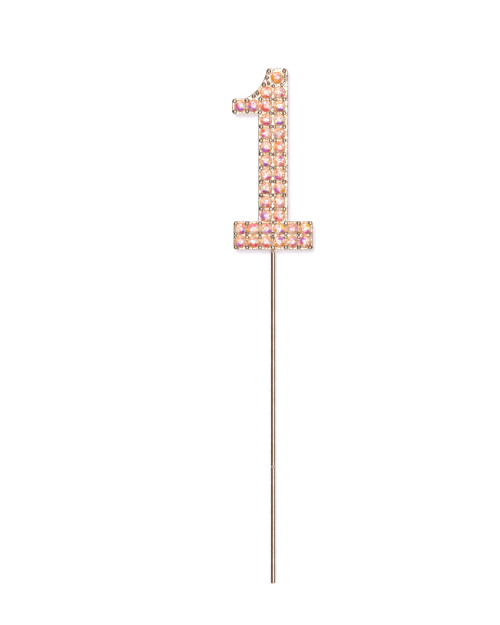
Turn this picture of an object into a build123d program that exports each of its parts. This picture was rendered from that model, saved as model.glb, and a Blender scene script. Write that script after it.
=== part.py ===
import os
from math import asin, cos, radians, sin

from build123d import *

os.makedirs("parts", exist_ok=True)

# ---------------------------------------------------------------- driving dimensions, millimetres
# The row's origin is the tip of the stem, +Z runs up the stem and the decorated front faces -Y.
stem_r = 0.6
stem_below = 83.0  # tip of the stem to the number's bottom edge
stem_inside = 5.0  # how far the stem goes up into its socket
stem_tip_round = 0.22
mark_z = 29.1  # shallow ring mark around the stem, measured up from the tip
mark_width = 0.56
mark_depth = 0.05

# the numeral's outline, measured up from its bottom edge and across from the stem's axis
number_height = 45.0
front_y = -2.0
back_y = 0.2
base_half = 9.85
base_height = 7.1
column_half = 3.68
flag_left = -10.25
flag_low = 33.6
flag_high = 37.55
sweep_start_x = -7.1
sweep_end_x = -1.62
sweep_r = 9.3
outer_round = 0.85
base_round = 0.6
top_left_round = 0.65
inner_round = 0.25
rim_round = 0.22
back_round = 0.12
same = 0.001  # lengths closer than this are taken as equal

# the half-round boss behind the base, its blind socket and the solder that holds the stem in it
boss_r = 1.2
boss_height = 6.6
boss_dome = 0.9
socket_r = 0.7
socket_depth = 5.5
solder_r = 1.0
solder_drop = 0.85
solder_waist_r = 0.72
solder_waist_drop = 0.36

# a round stone; heights are measured out of the numeral's front face
facet_count = 8
girdle_r = 1.5
table_r = 0.8
table_top = 0.62
girdle_top = 0.02
girdle_low = -0.08
culet = -1.38
star_tip_r = 1.15
half_tip_r = 0.45
stone_turn = 29  # each stone is turned this much further than the last, in degrees

# the stepped conical seat of a stone and the adhesive under it; depths below the front face
seat_r = 1.54
seat_step = 0.2
seat_floor_r = 0.6
seat_cone_end = 1.25
seat_depth = 1.55
seat_clear = 1.0  # how far the cutting tool stands out of the face
adhesive_top = 0.9

# where the stones sit
column_mid = -0.1  # the column's pattern sits a little left of the stem's axis
column_x = 1.64
column_low = 8.39
column_pitch = 3.4
column_rows = 10
base_mid = -0.06
base_pitch = 3.2
base_count = 6
base_tiers = {"lower": 1.95, "upper": 5.15}
flag_x = (-8.1, -4.9)
flag_row = 35.66
tip_spot = (0.9, 42.6)

# the cast beads between the stones
bead_r = 0.5
pair_r = 0.43
base_pair_r = 0.41
small_r = 0.36
bead_wall = 0.2  # a bead's upright side out of the front face; its rounded crown starts above it
bead_root = 0.3  # how far a bead goes down into the casting
crown_share = 1.9  # radii of a bead's shallow crown and rounder shoulder, as shares of the bead's
shoulder_share = 0.5
pair_half = 0.48
base_pair_half = 0.43
side_bead_x = 2.88
base_bead_low = 0.56
base_bead_high = 6.52
base_bead_end = 9.25
base_middle = (base_tiers["lower"] + base_tiers["upper"]) / 2
neck_pair_half = 0.46
neck_pair_z = 6.78
flag_beads = [(-9.52, 36.88), (-9.52, 34.28), (-6.5, 36.98), (-6.45, 34.3), (-3.2, 37.28), (-3.28, 34.1)]
sweep_beads = [(-4.86, 38.02), (-3.94, 38.86), (-2.3, 40.95), (-1.56, 42.68), (-1.0, 44.25), (2.76, 44.34)]
tip_beads = [(-1.12, 41.22), (0.0, 40.57), (2.16, 40.9)]
tip_small_beads = [(2.98, 43.0), (2.98, 41.95)]

face = Plane(origin=(0, front_y, stem_below), x_dir=(1, 0, 0), z_dir=(0, -1, 0))
rear = Plane(origin=(0, back_y, stem_below), x_dir=(1, 0, 0), z_dir=(0, -1, 0))
underside = Plane(origin=(0, 0, stem_below))


# ---------------------------------------------------------------- where everything sits on the front face
def column_z(row):
    return column_low + column_pitch * (column_rows - row)


def on_face(points):
    """Locations on the numeral's front face, across from the stem's axis and up from its bottom edge."""
    return [face.location * Location((x, z, 0)) for x, z in points]


def both_sides(points, middle):
    """Points given from a middle line, and their mirror images across it."""
    return [(middle + x, z) for x, z in points] + [(middle - x, z) for x, z in points if x]


def bead_outline(radius):
    """The closed half outline of a bead: root, upright side, round shoulder, shallow crown."""
    shoulder = shoulder_share * radius
    crown = crown_share * radius
    turn = asin((radius - shoulder) / (crown - shoulder))
    half = (radians(90) + turn) / 2
    top = bead_wall + shoulder * cos(turn) + crown * (1 - cos(turn))
    meet = (crown * sin(turn), bead_wall + shoulder * cos(turn))
    with BuildLine() as outline:
        Polyline((0, top), (0, -bead_root), (radius, -bead_root), (radius, bead_wall))
        ThreePointArc(
            (radius, bead_wall),
            (radius - shoulder + shoulder * sin(half), bead_wall + shoulder * cos(half)),
            meet,
        )
        ThreePointArc(
            meet,
            (crown * sin(turn / 2), top - crown * (1 - cos(turn / 2))),
            (0, top),
        )
    return outline.line


def row_gap_z(row):
    """Half-way between a row of column stones and the row above it."""
    return column_z(row) + column_pitch / 2


stones = {"crystal_tip": tip_spot}
for n, x in enumerate(flag_x, start=1):
    stones[f"crystal_flag_{n}"] = (x, flag_row)
for side, x in (("left", -column_x), ("right", column_x)):
    for row in range(1, column_rows + 1):
        stones[f"crystal_column_{side}_{row:02d}"] = (column_mid + x, column_z(row))
for tier, z in base_tiers.items():
    for n in range(base_count):
        x = base_mid + (n - (base_count - 1) / 2) * base_pitch
        stones[f"crystal_base_{tier}_{n + 1}"] = (x, z)

seats = []
for n, (x, z) in enumerate(stones.values()):
    turn = (n * stone_turn) % (360 / facet_count)
    seats.append(face.location * Location((x, z, 0), (0, 0, turn)))

beads = [(base_mid, base_bead_low)]
for z in (base_bead_low, base_bead_high):
    beads += both_sides([(base_pitch, z), (2 * base_pitch, z), (base_bead_end, z)], base_mid)
beads += [(column_mid + side_bead_x, row_gap_z(row)) for row in range(2, column_rows + 1)]
beads += [(column_mid - side_bead_x, row_gap_z(row)) for row in range(4, column_rows + 1)]
beads += flag_beads + sweep_beads

pairs = list(tip_beads)
for row in range(2, column_rows + 1):
    pairs += both_sides([(pair_half, row_gap_z(row))], column_mid)

base_pairs = both_sides([(neck_pair_half, neck_pair_z)], base_mid)
small_beads = list(tip_small_beads)
for z in (base_middle + base_pair_half, base_middle - base_pair_half):
    base_pairs += both_sides([(0, z), (base_pitch, z), (2 * base_pitch, z)], base_mid)
    small_beads += both_sides([(base_bead_end, z)], base_mid)


# ---------------------------------------------------------------- one faceted stone, table outwards
def ring_point(radius, turn, height):
    return Vector(radius * cos(radians(turn)), radius * sin(radians(turn)), height)


def facet(a, b, c):
    """The plane through three points, its normal pointing away from the stone's middle."""
    middle = Vector(0, 0, (girdle_top + girdle_low) / 2)
    normal = (b - a).cross(c - a).normalized()
    if normal.dot(a - middle) < 0:
        normal = normal * -1
    return Plane(origin=a, z_dir=normal)


pitch = 360 / facet_count
ridge_share = cos(radians(pitch / 2))
crown_slope = (table_top - girdle_top) / (girdle_r - table_r)
pavilion_slope = (girdle_low - culet) / girdle_r
star_tip_height = table_top - crown_slope * (star_tip_r * ridge_share - table_r)
half_tip_height = culet + pavilion_slope * half_tip_r * ridge_share
bottom = Vector(0, 0, culet)

facets = []
for n in range(facet_count):
    turn = n * pitch
    ridge = turn + pitch / 2
    along = ring_point(1, turn + 90, 0)
    corner = ring_point(table_r, turn, table_top)
    next_corner = ring_point(table_r, turn + pitch, table_top)
    star_tip = ring_point(star_tip_r, ridge, star_tip_height)
    half_tip = ring_point(half_tip_r, ridge, half_tip_height)
    rim_high = ring_point(girdle_r, turn, girdle_top)
    rim_low = ring_point(girdle_r, turn, girdle_low)
    facets.append(facet(corner, rim_high, rim_high + along))  # crown main
    facets.append(facet(corner, next_corner, star_tip))  # star
    facets.append(facet(bottom, rim_low, rim_low + along))  # pavilion main
    for end in (turn, turn + pitch):  # upper and lower halves along the girdle
        for tip, height in ((star_tip, girdle_top), (half_tip, girdle_low)):
            a = ring_point(girdle_r, end, height)
            b = ring_point(girdle_r, ridge, height)
            facets.append(facet(a, b, tip))

with BuildPart() as stone:
    with Locations(bottom):
        Cylinder(girdle_r, table_top - culet, align=(Align.CENTER, Align.CENTER, Align.MIN))
    for cut in facets:
        split(bisect_by=cut, keep=Keep.BOTTOM)

# ---------------------------------------------------------------- the seat it drops into
with BuildPart() as seat_tool:
    with BuildSketch(Plane.XZ):
        with BuildLine():
            Polyline(
                (0, seat_clear),
                (seat_r, seat_clear),
                (seat_r, -seat_step),
                (seat_floor_r, -seat_cone_end),
                (seat_floor_r, -seat_depth),
                (0, -seat_depth),
                close=True,
            )
        make_face()
    revolve(axis=Axis.Z)

# ---------------------------------------------------------------- the dot of adhesive between the two
seat_slope = (seat_r - seat_floor_r) / (seat_cone_end - seat_step)
adhesive_r = seat_floor_r + (seat_cone_end - adhesive_top) * seat_slope
with BuildPart() as dot:
    with BuildSketch(Plane.XZ):
        with BuildLine():
            Polyline(
                (0, -adhesive_top),
                (adhesive_r, -adhesive_top),
                (seat_floor_r, -seat_cone_end),
                (seat_floor_r, -seat_depth),
                (0, -seat_depth),
                close=True,
            )
        make_face()
    revolve(axis=Axis.Z)
    add(stone.part, mode=Mode.SUBTRACT)

# ---------------------------------------------------------------- the cast beads, one tool for each size
bead_places = {bead_r: beads, pair_r: pairs, base_pair_r: base_pairs, small_r: small_beads}
bead_tools = {}
for radius in bead_places:
    with BuildPart() as bead:
        with BuildSketch(Plane.XZ):
            with BuildLine():
                add(bead_outline(radius))
            make_face()
        revolve(axis=Axis.Z)
    bead_tools[radius] = bead.part

# ---------------------------------------------------------------- number_plate: one casting
def corners_at(sketch, reach):
    """The corners of a sketch that lie this far to either side of the stem's axis."""
    return sketch.vertices().filter_by(lambda v: abs(abs(v.X) - reach) < same)


with BuildPart() as number_plate:
    with BuildSketch(rear) as outline:
        with BuildLine():
            Polyline(
                (sweep_start_x, flag_high),
                (flag_left, flag_high),
                (flag_left, flag_low),
                (-column_half, flag_low),
                (-column_half, base_height),
                (-base_half, base_height),
                (-base_half, 0),
                (base_half, 0),
                (base_half, base_height),
                (column_half, base_height),
                (column_half, number_height),
                (sweep_end_x, number_height),
            )
            RadiusArc((sweep_end_x, number_height), (sweep_start_x, flag_high), sweep_r)
        make_face()
        # each fillet makes the face anew, so the next corners are picked after it
        fillet(outline.vertices().group_by(Axis.X)[0], radius=outer_round)
        top_right = outline.vertices().group_by(Axis.Y)[-1].sort_by(Axis.X)[-1]
        fillet(top_right, radius=outer_round)
        top_left = outline.vertices().group_by(Axis.Y)[-1].sort_by(Axis.X)[0]
        fillet(top_left, radius=top_left_round)
        fillet(corners_at(outline, base_half), radius=base_round)
        beside_column = corners_at(outline, column_half)
        fillet(beside_column.filter_by(lambda v: v.Y < flag_high), radius=inner_round)
    extrude(amount=back_y - front_y)
    fillet(faces().sort_by(Axis.Y)[0].edges(), radius=rim_round)
    fillet(faces().sort_by(Axis.Y)[-1].edges(), radius=back_round)
    with BuildSketch(Plane.XZ) as boss_profile:
        with BuildLine():
            Polyline(
                (0, stem_below),
                (boss_r, stem_below),
                (boss_r, stem_below + boss_height),
                (0, stem_below + boss_height),
                close=True,
            )
        make_face()
        shoulder = boss_profile.vertices().group_by(Axis.Y)[-1].sort_by(Axis.X)[-1]
        fillet(shoulder, radius=boss_dome)
    revolve(axis=Axis.Z)
    for radius, spots in bead_places.items():
        with Locations(on_face(spots)):
            add(bead_tools[radius])
    with Locations(seats):
        add(seat_tool.part, mode=Mode.SUBTRACT)
    with Locations(underside.location):
        Cylinder(
            socket_r,
            socket_depth,
            align=(Align.CENTER, Align.CENTER, Align.MIN),
            mode=Mode.SUBTRACT,
        )
number_plate.part.label = "number_plate"
export_step(number_plate.part, "parts/number_plate.step")

# ---------------------------------------------------------------- stem_rod: drawn wire with a rounded tip
with BuildPart() as stem_rod:
    with BuildSketch(Plane.XZ) as rod_profile:
        with BuildLine():
            Polyline(
                (0, 0),
                (stem_r, 0),
                (stem_r, mark_z - mark_width / 2),
                (stem_r - mark_depth, mark_z),
                (stem_r, mark_z + mark_width / 2),
                (stem_r, stem_below + stem_inside),
                (0, stem_below + stem_inside),
                close=True,
            )
        make_face()
        tip_corner = rod_profile.vertices().group_by(Axis.Y)[0].sort_by(Axis.X)[-1]
        fillet(tip_corner, radius=stem_tip_round)
    revolve(axis=Axis.Z)
stem_rod.part.label = "stem_rod"
export_step(stem_rod.part, "parts/stem_rod.step")

# ---------------------------------------------------------------- solder_joint, with a concave fillet
with BuildPart() as solder_joint:
    with BuildSketch(Plane.XZ):
        with BuildLine():
            Polyline(
                (solder_r, stem_below),
                (socket_r, stem_below),
                (socket_r, stem_below + socket_depth),
                (0, stem_below + socket_depth),
                (0, stem_below + stem_inside),
                (stem_r, stem_below + stem_inside),
                (stem_r, stem_below - solder_drop),
            )
            ThreePointArc(
                (stem_r, stem_below - solder_drop),
                (solder_waist_r, stem_below - solder_waist_drop),
                (solder_r, stem_below),
            )
        make_face()
    revolve(axis=Axis.Z)
solder_joint.part.label = "solder_joint"
export_step(solder_joint.part, "parts/solder_joint.step")

# ---------------------------------------------------------------- adhesive_dots: one under each stone
with BuildPart() as adhesive_dots:
    with Locations(seats):
        add(dot.part)
adhesive_dots.part.label = "adhesive_dots"
export_step(adhesive_dots.part, "parts/adhesive_dots.step")

# ---------------------------------------------------------------- the crystals, a node each
for name, place in zip(stones, seats):
    with BuildPart() as crystal:
        with Locations(place):
            add(stone.part)
    crystal.part.label = name
    export_step(crystal.part, f"parts/{name}.step")
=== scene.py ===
import math
import random

import bmesh
import bpy
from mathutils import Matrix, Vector


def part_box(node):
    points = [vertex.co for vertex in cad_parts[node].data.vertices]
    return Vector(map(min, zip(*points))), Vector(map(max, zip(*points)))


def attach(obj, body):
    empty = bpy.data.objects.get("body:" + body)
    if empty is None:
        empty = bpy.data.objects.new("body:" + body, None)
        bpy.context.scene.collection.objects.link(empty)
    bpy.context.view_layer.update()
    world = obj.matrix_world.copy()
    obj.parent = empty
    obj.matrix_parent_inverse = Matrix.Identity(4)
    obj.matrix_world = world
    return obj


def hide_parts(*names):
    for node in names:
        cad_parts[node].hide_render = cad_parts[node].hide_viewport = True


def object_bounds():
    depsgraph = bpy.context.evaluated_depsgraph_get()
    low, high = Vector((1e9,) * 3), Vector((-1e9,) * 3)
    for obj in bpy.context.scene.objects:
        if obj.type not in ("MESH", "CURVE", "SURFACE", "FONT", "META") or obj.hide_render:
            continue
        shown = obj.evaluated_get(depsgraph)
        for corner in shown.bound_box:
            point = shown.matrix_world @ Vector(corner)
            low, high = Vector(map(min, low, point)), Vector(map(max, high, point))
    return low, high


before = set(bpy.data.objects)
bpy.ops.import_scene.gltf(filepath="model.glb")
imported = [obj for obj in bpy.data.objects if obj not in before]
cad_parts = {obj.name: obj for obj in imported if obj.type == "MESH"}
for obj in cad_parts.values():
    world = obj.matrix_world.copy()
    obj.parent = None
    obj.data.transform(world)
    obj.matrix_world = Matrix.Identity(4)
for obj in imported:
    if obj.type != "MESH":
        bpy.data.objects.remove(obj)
cad_low, cad_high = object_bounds()

MM = 0.001

plate_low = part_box("number_plate")[0]
stem_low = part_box("stem_rod")[0]
table_rise = 0.62 * MM  # how far the stones' tables stand out of the numeral's face
face_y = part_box("crystal_tip")[0].y + table_rise


# ---------------------------------------------------------------- colours
def linear(red, green, blue):
    """A screen colour, 0 to 255, as the linear colour that a shader takes."""
    def channel(value):
        value /= 255
        return value / 12.92 if value <= 0.04045 else ((value + 0.055) / 1.055) ** 2.4
    return (channel(red), channel(green), channel(blue), 1.0)


def palette(*colours):
    return [linear(*colour) for colour in colours]


ROSE_GOLD = (0.93, 0.82, 0.73, 1.0)
ROSE_GOLD_DEEP = (0.87, 0.70, 0.58, 1.0)
WIRE_GOLD = (0.90, 0.73, 0.61, 1.0)
WIRE_GOLD_DEEP = (0.84, 0.61, 0.47, 1.0)
# Painted reflection: the dark brown ring round each bead's shoulder, where the metal would mirror the dark
# room.
BEAD_SHOULDER_SHADE = (0.29, 0.13, 0.04, 1.0)
# Painted shade in crevices, and the colour of the brown specks.
SPECK_AND_CREVICE_SHADE = (0.17, 0.08, 0.035, 1.0)
WARM_ROOM = (1.0, 0.72, 0.55, 1.0)
CARD_GLOW = (0.80, 0.77, 1.0, 1.0)
WHITE = (1.0, 1.0, 1.0, 1.0)

# The colours of the painted flashes of reflected colour on the stones.
FLASH = {
    "orange": linear(255, 154, 44),
    "yellow": linear(255, 212, 60),
    "coral": linear(254, 132, 102),
    "red": linear(250, 98, 90),
    "crimson": linear(242, 86, 108),
    "rose": linear(250, 124, 150),
    "pink": linear(250, 158, 178),
    "magenta": linear(230, 94, 160),
    "violet": linear(192, 100, 204),
    "purple": linear(164, 86, 184),
    "plum": linear(166, 80, 140),
    "indigo": linear(138, 96, 196),
    "mauve": linear(212, 158, 206),
}
RIM_TINTS = palette(
    (255, 158, 62), (255, 176, 78), (250, 146, 50), (255, 194, 104), (255, 176, 110), (252, 160, 74),
    (255, 212, 146),
)
OUTER_TINTS = palette(
    (255, 206, 142), (255, 178, 106), (255, 232, 194), (255, 192, 174), (255, 248, 230), (250, 220, 190),
    (255, 255, 250), (255, 162, 116), (255, 222, 218), (244, 234, 190),
)
INNER_TINTS = palette(
    (255, 252, 248), (250, 176, 150), (234, 122, 106), (255, 214, 180), (206, 184, 236), (200, 228, 200),
    (242, 134, 84), (255, 255, 255), (246, 162, 186), (255, 234, 216), (222, 156, 118), (255, 242, 232),
    (238, 134, 138), (252, 194, 120),
)
TABLE_TINTS = palette(
    (255, 254, 250), (228, 180, 160), (198, 148, 140), (252, 234, 222), (212, 186, 214), (255, 255, 255),
    (190, 212, 192), (246, 212, 174), (194, 154, 134),
)


# ---------------------------------------------------------------- shader helpers
def new_material(name):
    """A material with nodes, with its node tree and its shader."""
    material = bpy.data.materials.new(name)
    material.use_nodes = True
    tree = material.node_tree
    return material, tree, tree.nodes["Principled BSDF"]


def feed(tree, value, socket):
    """Link a socket to another one, or give it a fixed value."""
    if isinstance(value, bpy.types.NodeSocket):
        tree.links.new(value, socket)
    else:
        socket.default_value = value


def maths(tree, operation, first, second=None):
    node = tree.nodes.new("ShaderNodeMath")
    node.operation = operation
    feed(tree, first, node.inputs[0])
    if second is not None:
        feed(tree, second, node.inputs[1])
    return node.outputs["Value"]


def remap(tree, source, low, high, to_low=0.0, to_high=1.0, smooth=False):
    """Take source from low..high to to_low..to_high, and no further at either end."""
    node = tree.nodes.new("ShaderNodeMapRange")
    node.interpolation_type = "SMOOTHSTEP" if smooth else "LINEAR"
    node.inputs["From Min"].default_value = low
    node.inputs["From Max"].default_value = high
    node.inputs["To Min"].default_value = to_low
    node.inputs["To Max"].default_value = to_high
    tree.links.new(source, node.inputs["Value"])
    return node.outputs["Result"]


def mix(tree, factor, first, second, kind="RGBA"):
    node = tree.nodes.new("ShaderNodeMix")
    node.data_type = kind
    feed(tree, factor, node.inputs["Factor"])
    feed(tree, first, node.inputs["A"])
    feed(tree, second, node.inputs["B"])
    return node.outputs["Result"]


def split(tree, vector):
    """The x, y and z of a vector."""
    node = tree.nodes.new("ShaderNodeSeparateXYZ")
    tree.links.new(vector, node.inputs["Vector"])
    return node.outputs["X"], node.outputs["Y"], node.outputs["Z"]


def surface_point(tree):
    """The point being shaded, in metres in the frame that all pieces share."""
    return tree.nodes.new("ShaderNodeTexCoord").outputs["Object"]


def noise(tree, scale, detail=2.0):
    """Noise of so many grains to the metre, so that its grain has a real size."""
    node = tree.nodes.new("ShaderNodeTexNoise")
    node.inputs["Scale"].default_value = scale
    node.inputs["Detail"].default_value = detail
    tree.links.new(surface_point(tree), node.inputs["Vector"])
    return node.outputs["Fac"]


def bump(tree, shader, height, depth):
    node = tree.nodes.new("ShaderNodeBump")
    node.inputs["Strength"].default_value = 1.0
    node.inputs["Distance"].default_value = depth
    tree.links.new(height, node.inputs["Height"])
    tree.links.new(node.outputs["Normal"], shader.inputs["Normal"])


# ---------------------------------------------------------------- materials
# A noise's values lie round 0.5, and nearly all of them are within the wide span.
WIDE_SPAN = (0.3, 0.7)
NARROW_SPAN = (0.35, 0.65)


def polished_metal(name, light, deep, tint_grain, polish, ripple_grain, ripple_depth):
    """Plated metal: cloudy tint, uneven polish and a faint ripple left by casting or drawing."""
    material, tree, shader = new_material(name)
    shader.inputs["Metallic"].default_value = 1.0
    tint = remap(tree, noise(tree, tint_grain), *NARROW_SPAN)
    tree.links.new(mix(tree, tint, light, deep), shader.inputs["Base Color"])
    patches = noise(tree, tint_grain * 2.3, detail=4.0)
    tree.links.new(remap(tree, patches, *WIDE_SPAN, *polish), shader.inputs["Roughness"])
    bump(tree, shader, noise(tree, ripple_grain, detail=3.0), ripple_depth)
    return material


def paint_shade_and_specks(material):
    """Painted shade on the plate: crevices darkened where other metal or a stone is near, brown specks a
    little denser in such corners, and a painted dark reflection round the shoulder of each bead.
    """
    tree = material.node_tree
    shader = tree.nodes["Principled BSDF"]
    metal = shader.inputs["Base Color"].links[0].from_socket
    depth = split(tree, surface_point(tree))[1]
    facing = split(tree, tree.nodes.new("ShaderNodeNewGeometry").outputs["Normal"])[1]

    # Openness is 1 on a free flat surface and falls where other metal or a stone is within reach.
    reach = 0.6 * MM
    crevice_share = 0.65
    gap = tree.nodes.new("ShaderNodeAmbientOcclusion")
    gap.samples = 12
    gap.inputs["Distance"].default_value = reach
    openness = gap.outputs["AO"]
    # The crevices are darkened with it: painted shade.
    crevice = maths(tree, "MULTIPLY", remap(tree, openness, 0.95, 0.5), crevice_share)

    # Brown specks are a little denser in corners, which is painted shade, and thin out down the sides.
    speck_grain = 3400.0
    corner_share = 0.85
    open_share = 0.72
    side_share = 0.3
    grain = remap(tree, noise(tree, speck_grain, detail=3.0), 0.49, 0.56)
    specks = maths(tree, "MULTIPLY", grain, remap(tree, openness, 1.0, 0.8, open_share, corner_share))
    fade = remap(tree, depth, face_y + 0.1 * MM, face_y + 0.6 * MM, 1.0, side_share)
    specks_and_crevice_shade = maths(tree, "MAXIMUM", crevice, maths(tree, "MULTIPLY", specks, fade))

    # A bead's shoulder stands out of the face and no longer faces straight ahead; there the dark room that
    # the polished metal would mirror is painted in as a dark brown ring.
    raised = remap(tree, depth, face_y - 0.02 * MM, face_y - 0.06 * MM)
    shoulder = maths(tree, "MULTIPLY", raised, remap(tree, facing, -0.985, -0.93))

    # Painted shade in crevices and specks first, then the painted dark ring on each bead's shoulder.
    shaded_colour = mix(tree, shoulder, mix(tree, specks_and_crevice_shade, metal, SPECK_AND_CREVICE_SHADE), BEAD_SHOULDER_SHADE)
    tree.links.new(shaded_colour, shader.inputs["Base Color"])
    return material


def scuff_ring(material, height, half_width):
    """Dull the polish in a narrow ring round an upright wire, which then catches light from all sides."""
    tree = material.node_tree
    shader = tree.nodes["Principled BSDF"]
    polish = shader.inputs["Roughness"].links[0].from_socket
    up = split(tree, surface_point(tree))[2]
    away = maths(tree, "ABSOLUTE", maths(tree, "SUBTRACT", up, height))
    dullest = 0.6
    scuff = remap(tree, away, half_width, half_width * 0.6, 0.0, dullest)
    tree.links.new(maths(tree, "MAXIMUM", polish, scuff), shader.inputs["Roughness"])
    return material


def faceted_crystal():
    """Foiled crystal: each facet carries a painted colour, the stone's own tint or a painted flash of
    reflected colour, under a clear, hard, polished surface.
    """
    material, tree, shader = new_material("crystal_facets")
    facet = tree.nodes.new("ShaderNodeAttribute")
    facet.attribute_name = "facet"
    tree.links.new(facet.outputs["Color"], shader.inputs["Base Color"])
    shader.inputs["Roughness"].default_value = 0.12
    shader.inputs["IOR"].default_value = 1.55
    shader.inputs["Specular IOR Level"].default_value = 0.4
    shader.inputs["Coat Weight"].default_value = 0.25
    shader.inputs["Coat Roughness"].default_value = 0.02
    return material


def cured_glue():
    """Yellowed clear adhesive, a little cloudy."""
    material, tree, shader = new_material("cured_adhesive")
    cloud = remap(tree, noise(tree, 1800.0), *WIDE_SPAN)
    colour = mix(tree, cloud, linear(232, 222, 200), linear(214, 196, 164))
    tree.links.new(colour, shader.inputs["Base Color"])
    shader.inputs["Roughness"].default_value = 0.2
    return material


def paper(name, shade, glow, glow_tint=WHITE):
    """Matt white studio paper, with a faint tooth, lit a little from behind like a light table."""
    material, tree, shader = new_material(name)
    tooth = remap(tree, noise(tree, 900.0), *WIDE_SPAN)
    tree.links.new(mix(tree, tooth, shade, WHITE), shader.inputs["Base Color"])
    shader.inputs["Roughness"].default_value = 0.9
    shader.inputs["Specular IOR Level"].default_value = 0.1
    shader.inputs["Emission Color"].default_value = glow_tint
    shader.inputs["Emission Strength"].default_value = glow
    return material


def see_through_from_behind(material):
    tree = material.node_tree
    side = tree.nodes.new("ShaderNodeNewGeometry")
    clear = tree.nodes.new("ShaderNodeBsdfTransparent")
    choice = tree.nodes.new("ShaderNodeMixShader")
    tree.links.new(side.outputs["Backfacing"], choice.inputs["Fac"])
    tree.links.new(tree.nodes["Principled BSDF"].outputs["BSDF"], choice.inputs[1])
    tree.links.new(clear.outputs["BSDF"], choice.inputs[2])
    tree.links.new(choice.outputs["Shader"], tree.nodes["Material Output"].inputs["Surface"])
    return material


# ---------------------------------------------------------------- the metal and the adhesive
def repaint(node, material):
    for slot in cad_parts[node].material_slots:
        slot.material = material


ring_mark_z = stem_low.z + 29.1 * MM
ring_mark_half_width = 0.28 * MM

cast_metal = polished_metal(
    "rose_gold_cast", ROSE_GOLD, ROSE_GOLD_DEEP,
    tint_grain=700.0, polish=(0.07, 0.16), ripple_grain=1500.0, ripple_depth=9e-5,
)
wire_metal = polished_metal(
    "rose_gold_wire", WIRE_GOLD, WIRE_GOLD_DEEP,
    tint_grain=260.0, polish=(0.05, 0.12), ripple_grain=700.0, ripple_depth=4e-7,
)
solder_metal = polished_metal(
    "rose_gold_solder", WIRE_GOLD, WIRE_GOLD_DEEP,
    tint_grain=900.0, polish=(0.12, 0.24), ripple_grain=2200.0, ripple_depth=6e-6,
)
# The plate gets painted shade in its crevices and round each bead's shoulder, and brown specks.
repaint("number_plate", paint_shade_and_specks(cast_metal))
repaint("stem_rod", scuff_ring(wire_metal, ring_mark_z, ring_mark_half_width))
repaint("solder_joint", solder_metal)
repaint("adhesive_dots", cured_glue())

# ---------------------------------------------------------------- the stones' flashes
# Each stone shows its own painted flashes of reflected colour, as (colour, from, to) in hours round the
# stone, clockwise from the top.
FLASHES = {
    "tip": [("coral", 11.2, 12.9), ("orange", 7.8, 10.2), ("orange", 4.2, 6.6)],
    "flag_1": [("crimson", 8.8, 9.8), ("magenta", 7.6, 8.8), ("violet", 5.6, 7.6), ("magenta", 4.6, 5.6)],
    "flag_2": [("rose", 9, 10.6), ("violet", 7.4, 9), ("indigo", 6.2, 7.2), ("magenta", 4.8, 6.2)],
    "column_left_01": [("rose", 11.8, 13.2), ("coral", 6, 8), ("crimson", 4.8, 6)],
    "column_left_02": [("red", 7.6, 9.6), ("crimson", 4.6, 7.6)],
    "column_left_03": [("coral", 7.4, 9), ("magenta", 5.4, 7.4), ("purple", 4.6, 5.6)],
    "column_left_04": [("crimson", 9.4, 11), ("magenta", 7, 8.6)],
    "column_left_05": [("violet", 5.6, 8.4), ("crimson", 4.6, 5.6)],
    "column_left_06": [("purple", 5, 7)],
    "column_left_07": [("magenta", 3.8, 6.2)],
    "column_left_08": [("plum", 4.6, 8)],
    "column_left_09": [("magenta", 7, 8.2), ("crimson", 4.6, 5.8)],
    "column_left_10": [("violet", 7.4, 10.4), ("magenta", 6.6, 7.4), ("mauve", 10.4, 12)],
    "column_right_01": [("mauve", 0.4, 2), ("magenta", 3.8, 5.2)],
    "column_right_02": [("purple", 4.4, 5.8), ("plum", 5.8, 7.4)],
    "column_right_03": [("indigo", 4, 5.6), ("violet", 5.6, 7.2)],
    "column_right_04": [("mauve", 7, 8.6), ("coral", 4, 5.4)],
    "column_right_05": [("coral", 10.6, 12.6), ("orange", 7.6, 9.4)],
    "column_right_06": [("violet", 12, 13.6), ("rose", 4, 6.2)],
    "column_right_07": [("violet", 6.8, 8.6), ("magenta", 5.4, 6.8)],
    "column_right_08": [("violet", 7.6, 9.2), ("magenta", 6, 7.6), ("orange", 3.6, 5)],
    "column_right_09": [("pink", 4, 6.6)],
    "column_right_10": [("crimson", 7, 9.4), ("rose", 4.8, 7)],
    "base_upper_1": [("coral", 12.4, 13.6), ("purple", 4.2, 5.6), ("magenta", 5.6, 6.6)],
    "base_upper_2": [("rose", 10, 13.4)],
    "base_upper_3": [("red", 11.6, 12.6), ("violet", 3.6, 5), ("mauve", 6.4, 7.6)],
    "base_upper_4": [("yellow", 12.4, 14.4), ("violet", 3.8, 5)],
    "base_upper_5": [("red", 11, 13.6)],
    "base_upper_6": [("yellow", 12.2, 14.4), ("magenta", 4, 6)],
    "base_lower_1": [("magenta", 8, 9.4), ("violet", 6.4, 8), ("magenta", 5, 6.4)],
    "base_lower_2": [("red", 5.6, 8.2), ("crimson", 4.2, 5.6)],
    "base_lower_3": [("rose", 7, 8.4), ("crimson", 5, 7)],
    "base_lower_4": [("violet", 11.6, 13.8), ("orange", 3.8, 5), ("orange", 6.8, 8)],
    "base_lower_5": [("magenta", 4.8, 6.4), ("mauve", 12.4, 13.6)],
    "base_lower_6": [("violet", 9, 11.4), ("magenta", 8, 9)],
}
FLASH_FILL = 0.93  # the share of the facets within a flash that show it
MOST_CLEAR = 0.5  # the largest share of plain white facets in the middle of a stone

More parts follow.
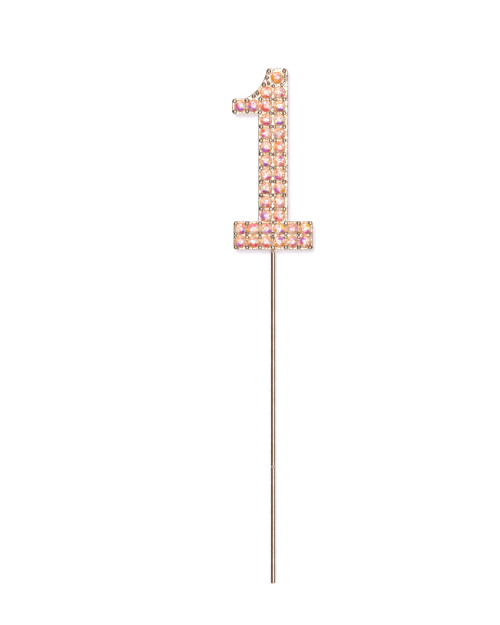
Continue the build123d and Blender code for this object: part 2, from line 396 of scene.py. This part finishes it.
# ---------------------------------------------------------------- the stones' shape
# Distances from a stone's middle and depths below its table are shares of its radius.
FACETS = 8
SIDES = 4 * FACETS
PITCH = math.tau / FACETS
EYE_REACH = 0.2
IRIS_REACH = 0.37
TABLE_REACH = 0.533
STAR_REACH = 0.767
WAIST_REACH = 0.80
RIM_REACH = 0.87
RIM_DROP = 0.289
GIRDLE_TOP = 0.4
GIRDLE_FOOT = 0.467
ROOT_REACH = 0.3
ROOT_DROP = 1.10

# The middles of facets further out than these take the tints of the rim, the outer and the inner crown.
RIM_ZONE = 0.91
OUTER_ZONE = 0.74
INNER_ZONE = 0.4


def crown_drop(reach):
    """The depth of a kite facet's plane at so far from the stone's middle."""
    return GIRDLE_TOP * (reach - TABLE_REACH) / (1 - TABLE_REACH)


def brilliant(bm, middle, radius, depth, turn):
    """The corners of each facet of a round brilliant that faces -Y, with its table's middle at middle."""

    def ring(count, reach, drop, offset=0.0):
        points = []
        for n in range(count):
            angle = turn + (n + offset) * math.tau / count
            x = radius * reach * math.sin(angle)
            z = radius * reach * math.cos(angle)
            points.append(bm.verts.new(middle + Vector((x, drop * radius, z))))
        return points

    centre = bm.verts.new(middle)
    eye = ring(FACETS, EYE_REACH, 0.0)
    iris = ring(FACETS, IRIS_REACH, 0.0, 0.5)
    table = ring(FACETS, TABLE_REACH, 0.0)
    stars = ring(FACETS, STAR_REACH, crown_drop(STAR_REACH * math.cos(PITCH / 2)), 0.5)
    waist = ring(FACETS, WAIST_REACH, crown_drop(WAIST_REACH))
    rim = ring(SIDES, RIM_REACH, RIM_DROP)
    edge = ring(SIDES, 1.0, GIRDLE_TOP)
    girdle = ring(SIDES, 1.0, GIRDLE_FOOT)
    root = ring(FACETS, ROOT_REACH, ROOT_DROP)
    culet = bm.verts.new(middle + Vector((0, depth, 0)))
    for n in range(FACETS):
        after = (n + 1) % FACETS
        arc = [rim[(4 * n + k) % SIDES] for k in range(5)]
        yield centre, eye[n], eye[after]
        yield eye[n], iris[n], eye[after]
        yield eye[n], iris[n - 1], iris[n]
        yield iris[n - 1], table[n], iris[n]
        yield iris[n], table[n], table[after]
        yield table[n], stars[n], table[after]
        yield table[n], waist[n], stars[n]
        yield table[after], stars[n], waist[after]
        yield waist[n], arc[0], arc[1]
        yield waist[n], arc[1], stars[n]
        yield stars[n], arc[1], arc[2]
        yield stars[n], arc[2], arc[3]
        yield stars[n], arc[3], waist[after]
        yield waist[after], arc[3], arc[4]
        yield culet, root[after], root[n]
        for k in range(4 * n, 4 * n + 4):
            yield girdle[k], root[n], girdle[(k + 1) % SIDES]
        yield root[n], root[after], girdle[(4 * n + 4) % SIDES]
    for n in range(SIDES):
        after = (n + 1) % SIDES
        yield rim[n], edge[n], edge[after], rim[after]
        yield edge[n], girdle[n], girdle[after], edge[after]


def in_hours(hour, start, end):
    return (hour - start) % 12 <= (end - start) % 12


def facet_colour(across, up, radius, flashes, clear, dice):
    """The colour of a facet whose middle is so far across and up from the stone's own: a tint of the
    stone, or, away from the middle and within a flash's hours, a painted flash of reflected colour.

    Of the facets in the stone's middle, a share of clear is plain white.
    """
    reach = math.hypot(across, up) / radius
    hour = math.atan2(across, up) / math.tau * 12
    if reach > RIM_ZONE:
        return dice.choice(RIM_TINTS)
    if reach > INNER_ZONE:
        for name, start, end in flashes:
            if in_hours(hour, start, end) and dice.random() < FLASH_FILL:
                return FLASH[name]
    if reach > OUTER_ZONE:
        return dice.choice(OUTER_TINTS)
    if reach > INNER_ZONE:
        return dice.choice(INNER_TINTS)
    return WHITE if dice.random() < clear else dice.choice(TABLE_TINTS)


def faceted_stone(node, material):
    """A round brilliant in the place of a CAD stone, with the facets seen through its crown."""
    low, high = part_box(node)
    radius = (high.x - low.x) / 2
    middle = Vector(((low.x + high.x) / 2, low.y, (low.z + high.z) / 2))
    flashes = FLASHES[node.removeprefix("crystal_")]
    dice = random.Random(node)
    turn = dice.uniform(0, PITCH)
    clear = dice.uniform(0.0, MOST_CLEAR)
    bm = bmesh.new()
    paint = bm.loops.layers.float_color.new("facet")
    for corners in brilliant(bm, middle, radius, high.y - low.y, turn):
        facet = bm.faces.new(corners)
        where = facet.calc_center_median() - middle
        colour = facet_colour(where.x, where.z, radius, flashes, clear, dice)
        for loop in facet.loops:
            loop[paint] = colour
    bmesh.ops.recalc_face_normals(bm, faces=bm.faces)
    mesh = bpy.data.meshes.new(node + "_facets")
    bm.to_mesh(mesh)
    bm.free()
    mesh.materials.append(material)
    piece = bpy.data.objects.new(node + "_facets", mesh)
    bpy.context.scene.collection.objects.link(piece)
    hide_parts(node)
    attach(piece, "root")


crystal = faceted_crystal()
for node in sorted(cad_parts):
    if node.startswith("crystal_"):
        faceted_stone(node, crystal)


# ---------------------------------------------------------------- floor and backdrop
def flat_stage(name, corners, material):
    """A sheet of paper that is seen, but that neither shows in the metal nor lights anything."""
    mesh = bpy.data.meshes.new(name)
    mesh.from_pydata(corners, [], [range(len(corners))])
    mesh.materials.append(material)
    piece = bpy.data.objects.new(name, mesh)
    bpy.context.scene.collection.objects.link(piece)
    piece.visible_glossy = False
    piece.visible_diffuse = False
    return piece


floor_half = 0.6
floor_z = stem_low.z - 0.02 * MM
flat_stage(
    "floor",
    [(-floor_half, -floor_half, floor_z), (floor_half, -floor_half, floor_z),
     (floor_half, floor_half, floor_z), (-floor_half, floor_half, floor_z)],
    paper("floor_paper", linear(250, 250, 250), 0.6),
)

card_half = 0.12
card_top = 0.2
card_y = cad_high.y + 0.15 * MM
card = flat_stage(
    "backdrop_card",
    [(-card_half, card_y, floor_z), (card_half, card_y, floor_z),
     (card_half, card_y, card_top), (-card_half, card_y, card_top)],
    see_through_from_behind(paper("card_paper", linear(252, 252, 252), 0.27, CARD_GLOW)),
)
card.visible_shadow = False


# ---------------------------------------------------------------- studio light
def studio_world():
    """What the metal mirrors: a bright soft patch ahead, a dim warm room, and white behind.

    Angles are in degrees, round from -Y, which the numeral faces, towards +X, and up from the horizon.
    The camera and the matt surfaces see an even white instead.
    """
    world = bpy.data.worlds.new("studio")
    bpy.context.scene.world = world
    world.use_nodes = True
    tree = world.node_tree

    def rise(angle, start, end):
        return remap(tree, angle, math.radians(start), math.radians(end), smooth=True)

    def swing(factor, start, end):
        return remap(tree, factor, 0.0, 1.0, math.radians(start), math.radians(end))

    x, y, z = split(tree, tree.nodes.new("ShaderNodeTexCoord").outputs["Generated"])
    around = maths(tree, "ARCTAN2", x, maths(tree, "MULTIPLY", y, -1.0))
    up = maths(tree, "ARCSINE", z)
    steep = maths(tree, "ABSOLUTE", up)
    lifted = rise(steep, 5, 12)
    away = rise(steep, 16, 23)

    # The patch ahead is narrower and nearer to +X at the horizon, where the upright stem mirrors it.
    half_height = 26
    patch_level = 1.95
    off_centre = maths(tree, "SUBTRACT", around, swing(lifted, 12, -1))
    wide = maths(tree, "DIVIDE", off_centre, swing(lifted, 15.5, 20))
    high = maths(tree, "DIVIDE", up, math.radians(half_height))
    reach = maths(tree, "ADD", maths(tree, "MULTIPLY", wide, wide), maths(tree, "MULTIPLY", high, high))
    ahead = maths(tree, "MULTIPLY", remap(tree, reach, 1.3, 0.75, smooth=True), patch_level)

    # A faint glow at +X, and white behind, which is dimmer away from the horizon.
    right_level = 0.22
    rear_level = 0.95
    right = maths(tree, "SUBTRACT", 1.0, rise(around, 150, 175))
    right = maths(tree, "MULTIPLY", maths(tree, "MULTIPLY", rise(around, 60, 88), right), right_level)
    behind = maths(tree, "MAXIMUM", rise(around, 106, 124), rise(around, -138, -150))
    behind = maths(tree, "MULTIPLY", behind, remap(tree, away, 0.0, 1.0, rear_level, 0.45))

    # The room itself is brighter away from the horizon.
    room_level = 0.12
    room = remap(tree, away, 0.0, 1.0, room_level, 0.55)

    level = ahead
    for glow in (right, behind, room):
        level = maths(tree, "ADD", level, glow)
    tint = mix(tree, remap(tree, level, 0.1, 0.9), WARM_ROOM, WHITE)
    path = tree.nodes.new("ShaderNodeLightPath")
    by_camera = path.outputs["Is Camera Ray"]
    by_matt = path.outputs["Is Diffuse Ray"]
    matt_level = 0.45
    camera_level = 1.0
    level = mix(tree, by_matt, level, matt_level, "FLOAT")
    level = mix(tree, by_camera, level, camera_level, "FLOAT")
    tint = mix(tree, maths(tree, "MAXIMUM", by_camera, by_matt), tint, WHITE)
    background = tree.nodes["Background"]
    tree.links.new(tint, background.inputs["Color"])
    tree.links.new(level, background.inputs["Strength"])


def area_light(name, spot, target, size, watts):
    """A round soft light, not mirrored in the metal."""
    lamp = bpy.data.lights.new(name, "AREA")
    lamp.shape = "DISK"
    lamp.size = size
    lamp.energy = watts
    piece = bpy.data.objects.new(name, lamp)
    bpy.context.scene.collection.objects.link(piece)
    piece.location = spot
    piece.rotation_euler = (target - spot).to_track_quat("-Z", "Y").to_euler()
    piece.visible_glossy = False
    piece.visible_camera = False


studio_world()
middle = (cad_low + cad_high) / 2
area_light("key", middle + Vector((-0.17, -0.75, 0.21)), middle, size=0.37, watts=3.2)
area_light("top", middle + Vector((0.1, -0.2, 0.6)), middle, size=0.4, watts=1.0)
area_light("low_fill", middle + Vector((0.12, -0.6, -0.4)), middle, size=0.3, watts=3.2)

# ---------------------------------------------------------------- camera
view_height = 155 * MM
camera_distance = 1.2
camera_x = -5.75 * MM
camera_z = plate_low.z - 15.6 * MM
camera = bpy.data.cameras.new("camera")
camera.lens = camera.sensor_width * camera_distance / view_height
camera_piece = bpy.data.objects.new("camera", camera)
bpy.context.scene.collection.objects.link(camera_piece)
camera_piece.location = (camera_x, plate_low.y - camera_distance, camera_z)
camera_piece.rotation_euler = (math.radians(90), 0, 0)
bpy.context.scene.camera = camera_piece
bpy.context.scene.view_settings.view_transform = "Standard"
